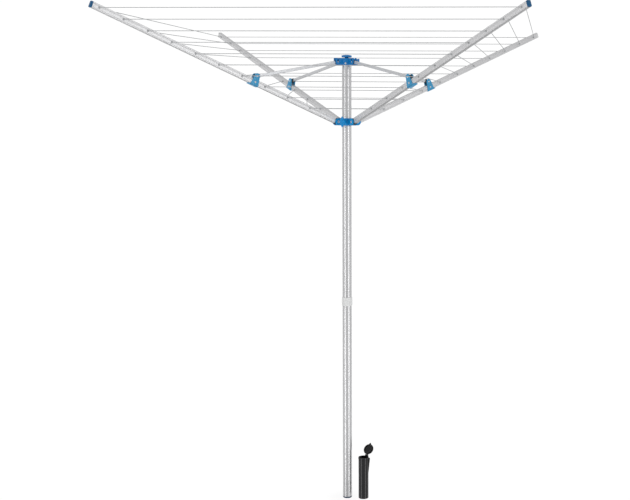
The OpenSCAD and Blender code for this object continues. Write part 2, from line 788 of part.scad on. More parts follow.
strut_pin(FRONT_RIGHT);  // strut_pin_front_right
strut_pin(BACK_LEFT);  // strut_pin_back_left
strut_pin(BACK_RIGHT);  // strut_pin_back_right
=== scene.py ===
import bpy
import bmesh
import json
import math
from mathutils import Matrix, Vector


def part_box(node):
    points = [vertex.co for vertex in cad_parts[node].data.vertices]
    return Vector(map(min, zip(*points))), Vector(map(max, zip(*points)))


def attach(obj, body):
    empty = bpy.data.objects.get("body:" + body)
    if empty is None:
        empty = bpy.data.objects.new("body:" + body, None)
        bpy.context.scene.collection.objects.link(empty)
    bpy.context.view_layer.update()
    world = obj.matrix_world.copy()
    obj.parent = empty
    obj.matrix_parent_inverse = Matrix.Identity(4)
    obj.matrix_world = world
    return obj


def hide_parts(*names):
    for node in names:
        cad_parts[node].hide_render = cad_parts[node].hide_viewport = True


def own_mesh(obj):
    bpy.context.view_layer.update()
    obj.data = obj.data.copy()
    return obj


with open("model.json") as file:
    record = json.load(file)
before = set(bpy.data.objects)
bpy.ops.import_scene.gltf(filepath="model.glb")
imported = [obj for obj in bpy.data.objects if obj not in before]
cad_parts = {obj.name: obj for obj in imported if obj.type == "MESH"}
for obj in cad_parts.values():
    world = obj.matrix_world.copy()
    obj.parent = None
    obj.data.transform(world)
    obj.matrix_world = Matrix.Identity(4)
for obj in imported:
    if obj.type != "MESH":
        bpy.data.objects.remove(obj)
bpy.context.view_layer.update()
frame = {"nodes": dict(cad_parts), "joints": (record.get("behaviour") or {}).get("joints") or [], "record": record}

joints = {joint["name"]: joint for joint in frame["joints"]}


# ---- camera ----
# It stands a little above the line of sight to the arms' hub, a long way back, so the four arms
# spread evenly and the pole stays upright.
camera_data = bpy.data.cameras.new("camera")
camera_data.lens = 64.1
camera_data.sensor_width = 36
camera_data.shift_x = -0.2
camera = bpy.data.objects.new("camera", camera_data)
camera_place = Matrix.Translation((1.105, -5.931, 2.111))
camera_turn = Matrix.Rotation(math.radians(5.73), 4, "Z")
camera_tilt = Matrix.Rotation(math.radians(90 - 6.90), 4, "X")
camera_roll = Matrix.Rotation(math.radians(0.47), 4, "Z")
camera.matrix_world = camera_place @ camera_turn @ camera_tilt @ camera_roll
bpy.context.scene.collection.objects.link(camera)
bpy.context.scene.camera = camera
bpy.context.scene.view_settings.view_transform = "Standard"


# ---- clothesline ----
# One long cord of white PVC-covered line, 3.5 mm thick, threaded through an eyelet on both sides
# of every arm and drawn tight; it starts inside the front left arm and ends in a knot at the back.
class Field:
    """A node socket that takes part in Python arithmetic: each operation adds a Math node."""

    def __init__(self, socket):
        self.socket = socket

    def node(self, kind, settings, inputs, output=0):
        """Any other node: its kind, its settings, its sockets' values or links, and its output."""
        tree = self.socket.id_data
        made = tree.nodes.new(kind)
        for name, value in settings.items():
            setattr(made, name, value)
        for name, value in inputs.items():
            if isinstance(value, Field):
                tree.links.new(value.socket, made.inputs[name])
            else:
                made.inputs[name].default_value = value
        return Field(made.outputs[output])

    def maths(self, operation, other):
        return self.node("ShaderNodeMath", {"operation": operation}, {0: self, 1: other})

    def __add__(self, other):
        return self.maths("ADD", other)

    def __mul__(self, other):
        return self.maths("MULTIPLY", other)

    def __rsub__(self, other):
        return self.maths("MULTIPLY", -1).maths("ADD", other)

    def between(self, low, high, at_low, at_high):
        """Runs smoothly from at_low to at_high while the field goes from low to high."""
        inputs = {"Value": self, "From Min": low, "From Max": high, "To Min": at_low}
        inputs["To Max"] = at_high
        return self.node("ShaderNodeMapRange", {"interpolation_type": "SMOOTHSTEP"}, inputs)

    __radd__ = __add__
    __rmul__ = __mul__


def new_finish(name, **fixed):
    """A material whose unchanging values sit on its shader. Returns it, its shader and its place."""
    material = bpy.data.materials.new(name)
    material.use_nodes = True
    shader = material.node_tree.nodes["Principled BSDF"]
    for socket, value in fixed.items():
        shader.inputs[socket.replace("_", " ")].default_value = value
    where = Field(material.node_tree.nodes.new("ShaderNodeTexCoord").outputs["Object"])
    return material, shader, where


def feed(shader, socket, field):
    """Lets a field drive one of the shader's sockets."""
    shader.id_data.links.new(field.socket, shader.inputs[socket])


def noise(where, scale, detail=2.0):
    """Cloudy noise with so many patches to the metre."""
    inputs = {"Vector": where, "Scale": scale, "Detail": detail}
    return where.node("ShaderNodeTexNoise", {}, inputs)


def stretched(where, across, along):
    """The place, so scaled that a texture runs out in long streaks along its X."""
    inputs = {0: where, 1: (along, across, across)}
    return where.node("ShaderNodeVectorMath", {"operation": "MULTIPLY"}, inputs)


def own_place(where):
    """The place that a piece's maker gave it before it was set at its slope and direction."""
    return where.node("ShaderNodeAttribute", {"attribute_name": "grain"}, {}, "Vector")


def tint(factor, low, high):
    """A colour that runs from one to another as the factor goes from 0 to 1."""
    inputs = {0: factor, 6: (*low, 1), 7: (*high, 1)}
    return factor.node("ShaderNodeMix", {"data_type": "RGBA"}, inputs, 2)


def bumped(height, strength, distance):
    """The surface's direction, roughened by a height in metres."""
    inputs = {"Strength": strength, "Distance": distance, "Height": height}
    return height.node("ShaderNodeBump", {}, inputs)


weld = 1e-6


def turned(outline, steps=48, closed=False):
    """A round shape: an outline of radius and height, spun round Z."""
    bm = bmesh.new()
    points = [bm.verts.new((radius, 0, height)) for radius, height in outline]
    for a, b in zip(points, points[1:] + points[:1] if closed else points[1:]):
        bm.edges.new((a, b))
    bmesh.ops.spin(bm, geom=bm.verts[:] + bm.edges[:], cent=(0, 0, 0), axis=(0, 0, 1),
                   angle=math.tau, steps=steps, use_merge=True)
    bmesh.ops.remove_doubles(bm, verts=bm.verts, dist=weld)
    bmesh.ops.recalc_face_normals(bm, faces=bm.faces)
    return bm


def moved(bm, place):
    """The same shape, carried to its place."""
    bmesh.ops.transform(bm, matrix=place, verts=bm.verts)
    return bm


crease = math.radians(35)


def finished(name, bm, body, slot, material, *nodes, place=Matrix()):
    """Makes the object, keeps each point's first place as its grain, and gives it to its body."""
    grain = bm.verts.layers.float_vector.new("grain")
    for vert in bm.verts:
        vert[grain] = vert.co
    moved(bm, place)
    mesh = bpy.data.meshes.new(name)
    bm.to_mesh(mesh)
    bm.free()
    mesh.shade_smooth()
    mesh.set_sharp_from_angle(angle=crease)
    mesh.materials.append(material)
    made = bpy.data.objects.new(name, mesh)
    bpy.context.scene.collection.objects.link(made)
    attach(made, body)
    if nodes:
        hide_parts(*nodes)
    return made


ARMS = {"back_right": 45, "back_left": 135, "front_left": 225, "front_right": 315}
arm_hinge = joints["arm_front_left_fold"]["pos_m"]
pivot_r = math.hypot(arm_hinge[0], arm_hinge[1])
arm_pivot_z = arm_hinge[2]
arm_len = 1.430
arm_w = 0.020
arm_rise = math.radians(21.5)
tip_margin = 0.042
inner_hole = 0.189
pitch_growth = 0.00256
rings = 10
line_r = 0.00175
eyelet_t = 0.0012
line_clear = 0.001
line_out = arm_w / 2 + eyelet_t + line_r + line_clear
knot_r = 0.0042


def hole_x(ring):
    """Place of a ring's hole along the arm, from its pivot."""
    n, gaps = ring - 1, rings - 1
    outer = arm_len - tip_margin
    return outer - n * (outer - inner_hole) / gaps + pitch_growth * n * (gaps - n) / 2


def eye(ring, side, out=line_out):
    """Where the line leaves its eyelet, as if the arm pointed along X."""
    radius = pivot_r + hole_x(ring) * math.cos(arm_rise)
    return Vector((radius, side * out, arm_pivot_z + hole_x(ring) * math.sin(arm_rise)))


def facing(name):
    """Turns what points along X to an arm's own direction."""
    return Matrix.Rotation(math.radians(ARMS[name]), 4, "Z")


def cord_shape(start, end):
    """A round-ended length of line between two points."""
    run = end - start
    inset = line_r * math.sqrt(0.5)
    outline = [(0, -line_r), (inset, -inset), (line_r, 0), (line_r, run.length)]
    outline += [(inset, run.length + inset), (0, run.length + line_r)]
    aim = run.to_track_quat("Z", "Y").to_matrix().to_4x4()
    return moved(turned(outline, steps=10), Matrix.Translation(start) @ aim)


line_white, shader, where = new_finish("line", Roughness=0.5, IOR=1.5)
feed(shader, "Base Color", tint(noise(where, scale=60), (0.42, 0.43, 0.44), (0.54, 0.55, 0.56)))
feed(shader, "Roughness", noise(where, scale=300) * 0.2 + 0.4)
feed(shader, "Normal", bumped(noise(where, scale=900), strength=0.25, distance=0.0003))

travel = joints["hub_slide"]["range_m"][1]
fold_angle = {c["joint"]: c["ratio"] for c in frame["record"]["behaviour"]["couplings"]}
arm_fold = fold_angle["arm_front_left_fold"] * travel
slack_share = 0.42
shortest_share = 0.05


def folded(point):
    """Where a point of an arm along X comes to when the arms are folded up."""
    x, z = point.x - pivot_r, point.z - arm_pivot_z
    c, s = math.cos(arm_fold), math.sin(arm_fold)
    return Vector((pivot_r + x * c - z * s, point.y, arm_pivot_z - travel + x * s + z * c))


def half_line(name, arm, ring, side, half_way, slack_end):
    """Half of one span, from its eyelet to the span's middle; its fold-up shortening is worked out, not used."""
    own = facing(arm)
    anchor = own @ eye(ring, side)
    made = finished(name, cord_shape(anchor, half_way), f"arm_{arm}", "line", line_white,
                    f"line_{arm}")
    turn = Matrix.Rotation(math.radians(ARMS[arm]), 3, "Z")
    lift = Matrix.Rotation(-arm_fold, 3, "Y")
    left = (turn @ lift @ turn.inverted()).inverted() @ (slack_end - own @ folded(eye(ring, side)))
    reach = half_way - anchor
    change = reach - left
    way = change.normalized()
    keep = max(shortest_share, 1 - change.length / way.dot(reach))
    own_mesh(made)
    return made


ORDER = ["front_right", "back_right", "back_left", "front_left"]
for here, after in zip(ORDER, ORDER[1:] + ORDER[:1]):
    steps_in = here == "back_left"
    for ring in range(1, rings if steps_in else rings + 1):
        to = ring + 1 if steps_in and ring > 1 else ring
        start = facing(here) @ eye(ring, 1)
        end = facing(after) @ eye(to, -1)
        share = start.xy.length / (start.xy.length + end.xy.length)
        half_way = start.lerp(end, share)
        start_up = facing(here) @ folded(eye(ring, 1))
        end_up = facing(after) @ folded(eye(to, -1))
        slack_end = (start_up + end_up) / 2
        slack_end.z = min(start_up.z, end_up.z) - slack_share * (half_way - start).length
        half_line(f"line_{here}_out_{ring}", here, ring, 1, half_way, slack_end)
        half_line(f"line_{after}_in_{to}", after, to, -1, half_way, slack_end)


def together(*shapes):
    """One shape out of several."""
    whole = bmesh.new()
    for shape in shapes:
        part = bpy.data.meshes.new("part")
        shape.to_mesh(part)
        shape.free()
        whole.from_mesh(part)
        bpy.data.meshes.remove(part)
    return whole


for arm in ARMS:
    through = []
    for ring in range(1, rings + 1):
        if arm == "front_left" and ring <= 2:
            side = -1 if ring == 1 else 1
            through.append(cord_shape(eye(ring, side), eye(ring, side, line_r)))
        elif arm == "back_left" and ring == rings:
            knot_out = arm_w / 2 + eyelet_t + knot_r
            through.append(cord_shape(eye(ring, -1), eye(ring, 1, knot_out)))
            knot = bmesh.new()
            bmesh.ops.create_icosphere(knot, subdivisions=3, radius=knot_r)
            through.append(moved(knot, Matrix.Translation(eye(ring, 1, knot_out))))
        else:
            through.append(cord_shape(eye(ring, -1), eye(ring, 1)))
    if arm == "front_left":
        through.append(cord_shape(eye(1, -1, line_r), eye(2, 1, line_r)))
        through.append(cord_shape(eye(1, 1), eye(1, 1, line_r * 2)))
    finished(f"line_{arm}_through", together(*through), f"arm_{arm}", "line", line_white,
             f"line_{arm}", place=facing(arm))


# ---- floor and studio ----
# A pale floor that fades into a white studio, with soft light from two tall boxes in front and
# two weaker ones behind, which draw the long bright bands on the pole. To the camera the floor glows white, with a
# painted shadow that dims it softly round the foot of the pole.
def disc_floor(radius):
    """A flat disc of ground round the object."""
    bm = bmesh.new()
    bmesh.ops.create_circle(bm, cap_ends=True, segments=96, radius=radius)
    mesh = bpy.data.meshes.new("floor")
    bm.to_mesh(mesh)
    bm.free()
    made = bpy.data.objects.new("floor", mesh)
    bpy.context.scene.collection.objects.link(made)
    return made


studio_white = 1.03
floor_r = 9.0
floor = disc_floor(floor_r)
floor_paint, shader, where = new_finish("floor", Base_Color=(0.8, 0.8, 0.8, 1), Roughness=0.9)
tree = floor_paint.node_tree
reach = where.node("ShaderNodeVectorMath", {"operation": "LENGTH"}, {0: where}, "Value")
# Painted shadow: the floor's white glow is dimmed to 93% at the foot of the pole and is back to full 0.2 m out.
painted_foot_shadow = reach.between(low=0.02, high=0.2, at_low=0.93, at_high=1.0)
glow = painted_foot_shadow.node("ShaderNodeEmission", {}, {"Strength": painted_foot_shadow * studio_white})
seen = painted_foot_shadow.node("ShaderNodeLightPath", {}, {}, "Is Camera Ray")
shown = seen.node("ShaderNodeMixShader", {}, {0: seen, 1: Field(shader.outputs[0]), 2: glow})
tree.links.new(shown.socket, tree.nodes["Material Output"].inputs["Surface"])
floor.data.materials.append(floor_paint)
floor.visible_glossy = False
floor.visible_shadow = False

world = bpy.data.worlds.new("studio")
bpy.context.scene.world = world
world.use_nodes = True
sky = world.node_tree.nodes["Background"]
sky.inputs["Color"].default_value = (1, 1, 1, 1)
seen = Field(world.node_tree.nodes.new("ShaderNodeLightPath").outputs["Is Camera Ray"])
looking = seen.node("ShaderNodeTexCoord", {}, {}, "Generated")
height = looking.node("ShaderNodeSeparateXYZ", {}, {0: looking}, "Z")
room = height.between(low=-0.85, high=-0.45, at_low=0.22, at_high=0.62)
strength = seen * studio_white + (1 - seen) * room
world.node_tree.links.new(strength.socket, sky.inputs["Strength"])


def light_box(name, azimuth, distance, width, height, power):
    """A soft upright light that faces the pole; azimuth 0 is in front."""
    data = bpy.data.lights.new(name, "AREA")
    data.shape = "RECTANGLE"
    data.size = width
    data.size_y = height
    data.energy = power
    made = bpy.data.objects.new(name, data)
    angle = math.radians(azimuth)
    spot = Vector((distance * math.sin(angle), -distance * math.cos(angle), 0))
    aim = (Vector((0, 0, 0)) - spot).to_track_quat("-Z", "Y")
    made.matrix_world = Matrix.Translation(spot) @ aim.to_matrix().to_4x4()
    bpy.context.scene.collection.objects.link(made)


light_reach = 5.0
light_h = 9.0
for name, azimuth, width, power in (("left", -41, 1.2, 84), ("right", 55, 1.2, 84),
                                    ("back_left", -125, 1.6, 24), ("back_right", 135, 1.6, 24)):
    light_box(f"light_{name}", azimuth, light_reach, width, light_h, power)


# ---- pole ----
# Two lengths of 50 mm aluminium tube: the lower stands in the ground socket, and the upper turns
# on the spigot of the plastic coupling between them. A dark plastic plug closes the foot.
gentle = math.radians(30)


def softened(bm, width, segments=2):
    """Rounds every edge that is sharper than a gentle curve."""
    bmesh.ops.remove_doubles(bm, verts=bm.verts, dist=weld)
    bmesh.ops.recalc_face_normals(bm, faces=bm.faces)
    sharp = [edge for edge in bm.edges
             if len(edge.link_faces) == 2 and edge.calc_face_angle() > gentle]
    bmesh.ops.bevel(bm, geom=sharp, offset=width, offset_type="OFFSET", segments=segments,
                    profile=0.5, affect="EDGES", material=-1, clamp_overlap=True)
    return bm


def arc(x, y, radius, start, end, steps=8):
    """Points of a round stretch of an outline, between two angles in degrees."""
    turns = [math.radians(start + (end - start) * i / steps) for i in range(steps + 1)]
    return [(x + radius * math.cos(turn), y + radius * math.sin(turn)) for turn in turns]


def aluminium(name, low, high, rough):
    """Satin drawn aluminium with its grain along the piece's own X."""
    material, shader, where = new_finish(name, Metallic=0.92, IOR=1.5)
    grain = noise(stretched(own_place(where), across=700, along=1.5), scale=1, detail=1)
    cloud = noise(where, scale=7, detail=3)
    feed(shader, "Base Color", tint(grain * 0.5 + cloud * 0.5, low, high))
    feed(shader, "Roughness", grain * 0.06 + cloud * 0.06 + rough)
    feed(shader, "Normal", bumped(grain, strength=0.02, distance=0.0001))
    return material


pole_r = 0.025
pole_wall = 0.0015
pole_steps = 64
tube_edge = 0.0003
pole_paint = aluminium("pole_tube", (0.62, 0.62, 0.63), (0.72, 0.72, 0.73), 0.28)
foot_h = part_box("lower_tube")[0].z
lower_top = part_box("lower_tube")[1].z
upper_bottom, upper_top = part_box("upper_tube")[0].z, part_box("upper_tube")[1].z
split_z = (lower_top + upper_bottom) / 2
on_side = Matrix.Rotation(math.pi / 2, 4, "Y")


def pole_length(start, end):
    """A length of the pole's tube, laid along X for its grain."""
    outline = [(pole_r - pole_wall, start), (pole_r, start), (pole_r, end),
               (pole_r - pole_wall, end)]
    return moved(softened(turned(outline, pole_steps, closed=True), tube_edge), on_side)


finished("lower_tube_shell", pole_length(foot_h, lower_top), "base", "pole_tube", pole_paint,
         "lower_tube", place=on_side.inverted())
finished("upper_tube_shell", pole_length(upper_bottom, upper_top), "mast", "pole_tube",
         pole_paint, "upper_tube", place=on_side.inverted())


def plastic(name, low, high, rough=0.4, gloss=1.42):
    """Moulded plastic: faint clouding, a fine texture and a slight orange-peel surface."""
    material, shader, where = new_finish(name, IOR=gloss)
    cloud = noise(where, scale=35, detail=3)
    fine = noise(where, scale=1500, detail=2)
    peel = noise(where, scale=260)
    feed(shader, "Base Color", tint(cloud, low, high))
    feed(shader, "Roughness", fine * 0.14 + cloud * 0.12 + (rough - 0.12))
    feed(shader, "Normal", bumped(fine * 0.4 + peel * 0.6, strength=0.08, distance=0.0002))
    return material


grey_plastic = plastic("grey_plastic", (0.72, 0.73, 0.73), (0.84, 0.84, 0.84))
dark_blue = plastic("dark_blue_plastic", (0.012, 0.03, 0.07), (0.02, 0.05, 0.1), 0.42)
collar_r = 0.0285
collar_h = 0.046
collar_edge = 0.0035
spigot_wall = 0.0035
spigot_gap = 0.0003
spigot_r = pole_r - pole_wall - spigot_gap
stop_half = 0.002
spigot_len = 0.09
collar_z0, collar_z1 = split_z - collar_h / 2, split_z + collar_h / 2
bore_r = spigot_r - spigot_wall
collar_outline = [(pole_r, collar_z0)]
collar_outline += arc(collar_r - collar_edge, collar_z0 + collar_edge, collar_edge, -90, 0, 6)
collar_outline += arc(collar_r - collar_edge, collar_z1 - collar_edge, collar_edge, 0, 90, 6)
collar_outline += [(pole_r + spigot_gap, collar_z1), (pole_r + spigot_gap, split_z + stop_half)]
collar_outline += [(spigot_r, split_z + stop_half), (spigot_r, split_z + spigot_len)]
collar_outline += [(bore_r, split_z + spigot_len), (bore_r, split_z - spigot_len)]
collar_outline += [(spigot_r, split_z - spigot_len), (spigot_r, split_z - stop_half)]
collar_outline += [(pole_r, split_z - stop_half)]
finished("coupling_collar", turned(collar_outline, pole_steps, closed=True), "base", "grey_plastic",
         grey_plastic, "pole_coupling")

foot_edge = 0.005
foot_plug = 0.035
foot_lip = 0.0005
groove_start, groove_end, groove_edge = 0.006, 0.012, 0.013
groove_d = 0.0012
foot_outline = [(0, 0), (groove_start, groove_d), (groove_end, groove_d), (groove_edge, 0)]
foot_outline += arc(pole_r - foot_edge, foot_edge, foot_edge, -90, 0, 6)
foot_outline += [(pole_r, foot_h - foot_lip), (pole_r - foot_lip, foot_h), (spigot_r, foot_h)]
foot_outline += [(spigot_r, foot_h + foot_plug), (0, foot_h + foot_plug)]
finished("foot_plug", turned(foot_outline, pole_steps), "base", "dark_blue_plastic", dark_blue,
         "foot_cap")


# ---- top hub ----
# Blue moulded plastic, riveted on the upper tube. Four pairs of ears hold the struts' cross pins
# in slots that are open at the top, and a round cap with a thin neck closes it.
def prism(outline, start, end, along="Y"):
    """A flat outline given thickness: X and Z of a plate along Y, Y and Z of a bar along X."""
    bm = bmesh.new()
    if along == "Y":
        corners = [bm.verts.new((a, start, b)) for a, b in outline]
        step = Vector((0, end - start, 0))
    elif along == "X":
        corners = [bm.verts.new((start, a, b)) for a, b in outline]
        step = Vector((end - start, 0, 0))
    else:
        corners = [bm.verts.new((a, b, start)) for a, b in outline]
        step = Vector((0, 0, end - start))
    made = bmesh.ops.extrude_face_region(bm, geom=[bm.faces.new(corners)])["geom"]
    far = [part for part in made if isinstance(part, bmesh.types.BMVert)]
    bmesh.ops.translate(bm, vec=step, verts=far)
    bmesh.ops.recalc_face_normals(bm, faces=bm.faces)
    return bm


part_edge = 0.0008


def plates(outline, inner, thick, edge=part_edge):
    """A pair of plates on both sides of the XZ plane."""
    near = softened(prism(outline, inner, inner + thick), edge)
    far = softened(prism(outline, -inner - thick, -inner), edge)
    return [near, far]


def rivet(x, z, radius, length, head_r, head):
    """A rivet across an arm, with a domed head at each end."""
    half = length / 2
    dome = [(0, half + head), (head_r * 0.55, half + head * 0.86), (head_r * 0.9, half + head * 0.4),
            (head_r, half)]
    outline = dome + [(radius, half), (radius, -half)] + [(r, -h) for r, h in reversed(dome)]
    return moved(turned(outline, 24),
                 Matrix.Translation((x, 0, z)) @ Matrix.Rotation(math.pi / 2, 4, "X"))


blue = plastic("blue_plastic", (0.0, 0.17, 0.47), (0.0, 0.21, 0.56))
steel, shader, where = new_finish("steel", Metallic=0.95)
feed(shader, "Base Color", tint(noise(where, scale=180, detail=4), (0.55, 0.56, 0.57),
                                (0.78, 0.78, 0.78)))
feed(shader, "Roughness", noise(where, scale=700, detail=3) * 0.3 + 0.2)
feed(shader, "Normal", bumped(noise(where, scale=1200), strength=0.15, distance=0.0002))

strut_pivot_z = (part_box("strut_pin_front_left")[0].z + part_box("strut_pin_front_left")[1].z) / 2
hub_z0, hub_z1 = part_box("top_hub")[0].z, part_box("top_hub")[1].z
hub_r = 0.034
hub_edge = 0.0012
ear_r = 0.013
slot_r = 0.0035
strut_ear_in = 0.0065
strut_ear_t = 0.005
ear_bite = 0.001
ear_root = pole_r + ear_bite - pivot_r
ear_low, ear_high = hub_z0 - strut_pivot_z, hub_z1 - strut_pivot_z
slot_flare = 0.42
ear_outline = [(ear_root, ear_low), (0, ear_low)]
ear_outline += arc(0, 0, ear_r, -84, 0, 7)
ear_outline += [(ear_r, ear_high), (slot_r, ear_high)]
ear_outline += arc(0, 0, slot_r, 0, -180, 10)
ear_outline += [(-slot_r - slot_flare * ear_high, ear_high), (ear_root, ear_high)]
sleeve = [(pole_r, hub_z0), (hub_r, hub_z0), (hub_r, hub_z1), (0, hub_z1), (0, upper_top),
          (pole_r, upper_top)]
hub_parts = [softened(turned(sleeve, pole_steps, closed=True), hub_edge)]
for arm in ARMS:
    for ear in plates(ear_outline, strut_ear_in, strut_ear_t):
        hub_parts.append(moved(ear, facing(arm) @ Matrix.Translation((pivot_r, 0, strut_pivot_z))))
finished("top_hub_body", together(*hub_parts), "mast", "blue_plastic", blue, "top_hub")
top_rivet_up = 0.008
top_rivet = rivet(0, hub_z0 + top_rivet_up, radius=0.0026, length=hub_r * 2, head_r=0.005,
                  head=0.0016)
finished("top_hub_rivets", top_rivet, "mast", "steel", steel, "top_hub_rivet")

cap_r = 0.027
neck_r = 0.010
neck_wall = 0.003
neck_h = 0.006
cap_z0, cap_z1 = hub_z1 + neck_h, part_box("top_cap")[1].z
cap_rim = 0.0015
cap_rise = 0.004
cap_side = cap_z1 - cap_rise
dome_r = (cap_r**2 + cap_rise**2) / (2 * cap_rise)
dome_edge = math.degrees(math.asin((cap_side - cap_z1 + dome_r) / dome_r))
cap_outline = [(0, upper_top), (neck_r - neck_wall, upper_top), (neck_r - neck_wall, hub_z1),
               (neck_r, hub_z1)]
cap_outline += [(neck_r, cap_z0), (cap_r - cap_rim, cap_z0), (cap_r, cap_z0 + cap_rim)]
cap_outline += arc(0, cap_z1 - dome_r, dome_r, dome_edge, 90, 10)
cap_outline[-1] = (0, cap_z1)
finished("top_hub_cap", turned(cap_outline, pole_steps), "mast", "blue_plastic", blue, "top_cap")


# ---- lower hub and clamp ----
# The blue plastic hub slides on the pole and carries the arms on steel rivets. A screw with a
# diamond-shaped plastic knob presses a pad against the pole and holds the hub at its height.
bright_blue = plastic("bright_blue_plastic", (0.0, 0.27, 0.62), (0.0, 0.32, 0.72))
low_half = 0.019
low_z0, low_z1 = arm_pivot_z - low_half, arm_pivot_z + low_half
slide_gap = 0.00005
arm_ear_in = 0.0105
arm_ear_t = 0.0055
arm_ear_r = 0.019
low_ear = [(ear_root, -arm_ear_r)] + arc(0, 0, arm_ear_r, -90, 90, 16) + [(ear_root, arm_ear_r)]
low_sleeve = [(pole_r + slide_gap, low_z0), (hub_r, low_z0), (hub_r, low_z1),
              (pole_r + slide_gap, low_z1)]
low_parts = [softened(turned(low_sleeve, pole_steps, closed=True), hub_edge)]
for arm in ARMS:
    for ear in plates(low_ear, arm_ear_in, arm_ear_t):
        low_parts.append(moved(ear, facing(arm) @ Matrix.Translation((pivot_r, 0, arm_pivot_z))))
knob_axis = joints["pad_slide"]["axis"]
clamp = (Matrix.Translation((0, 0, arm_pivot_z))
         @ Matrix.Rotation(math.atan2(knob_axis[1], knob_axis[0]), 4, "Z")
         @ Matrix.Rotation(math.pi / 2, 4, "Y"))
boss_start, boss_end = pole_r + 0.002, 0.052
boss_r = 0.011
boss_edge = 0.001
boss_steps = 40
stud_r = 0.004
boss = [(stud_r, boss_start), (boss_r, boss_start), (boss_r, boss_end), (stud_r, boss_end)]
low_parts.append(moved(softened(turned(boss, boss_steps, closed=True), boss_edge), clamp))
finished("lower_hub_body", together(*low_parts), "slider", "blue_plastic", bright_blue, "lower_hub")
pivots = []
for arm in ARMS:
    one = rivet(pivot_r, arm_pivot_z, radius=0.0035, length=2 * (arm_ear_in + arm_ear_t),
                head_r=0.0065, head=0.002)
    pivots.append(moved(one, facing(arm)))
finished("arm_pivots", together(*pivots), "slider", "steel", steel, "arm_pivot_rivets")

knob_seat = 0.072
knob_t = 0.008
knob_tip, knob_side = 0.0305, 0.0155
tip_cut = 0.0016
tip_x = knob_tip - tip_cut
flat = knob_side * (1 - tip_x / knob_tip)
waist_x, waist_y = 0.003, knob_side * 0.9
wing = [(tip_x, -flat), (tip_x, flat), (waist_x, waist_y), (-waist_x, waist_y),
        (-tip_x, flat), (-tip_x, -flat), (-waist_x, -waist_y), (waist_x, -waist_y)]
knob_hub_r = 0.010
knob_chamfer = 0.002
knob_edge = 0.0005
dish_r, dish_foot_r, dish_d = 0.004, 0.003, 0.001
hub_back, hub_front = knob_seat - 0.006, knob_seat + knob_t + 0.004
knob_outline = [(stud_r, hub_back), (knob_hub_r, hub_back), (knob_hub_r, hub_front - knob_chamfer),
                (knob_hub_r - knob_chamfer, hub_front), (dish_r, hub_front),
                (dish_foot_r, hub_front - dish_d), (0, hub_front - dish_d), (0, knob_seat),
                (stud_r, knob_seat)]
knob = together(softened(prism(wing, knob_seat, knob_seat + knob_t, "Z"), hub_edge, 3),
                softened(turned(knob_outline, boss_steps, closed=True), knob_edge))
teal = plastic("knob_plastic", (0.0, 0.24, 0.6), (0.0, 0.29, 0.68))
finished("clamp_knob_body", knob, "clamp_screw", "blue_plastic", teal, "clamp_knob", place=clamp)
thread_pitch = 0.00125
thread_depth = 0.0005
thread_start = 0.0365
nose_start = 0.0333
nose_r = stud_r - 0.001
thread = [(0, nose_start), (nose_r, nose_start), (nose_r, thread_start)]
turns_shown = int((knob_seat - thread_start) / thread_pitch)
for turn in range(turns_shown):
    thread += [(stud_r - thread_depth, thread_start + turn * thread_pitch),
               (stud_r, thread_start + (turn + 0.5) * thread_pitch)]
thread += [(0, thread_start + turns_shown * thread_pitch)]
finished("clamp_thread", turned(thread, 20), "clamp_screw", "steel", steel, "clamp_stud",
         place=clamp)


# ---- arms ----
# Four arms of rounded aluminium tube with shallow grooves down both sides. A plastic root turns on
# the hub's rivet, a plastic cap closes the tip, and a grey eyelet sits in each line hole.
def in_arm(name):
    """From an arm's own X, along the tube from its pivot, to its place on the hub."""
    place = Matrix.Translation((pivot_r, 0, arm_pivot_z)) @ Matrix.Rotation(-arm_rise, 4, "Y")
    return facing(name) @ place


side_groove_half = 0.0009
side_groove_d = 0.0006


def bar_section(height, width, corner, grooves=()):
    """Outline in Y and Z of a round-cornered bar, with shallow grooves down both sides."""
    y, z = width / 2, height / 2
    side = arc(y - corner, corner - z, corner, -90, 0, 4)
    for middle in grooves:
        side += [(y, middle - side_groove_half), (y - side_groove_d, middle),
                 (y, middle + side_groove_half)]
    side += arc(y - corner, z - corner, corner, 0, 90, 4)
    return side + [(-across, up) for across, up in reversed(side)]


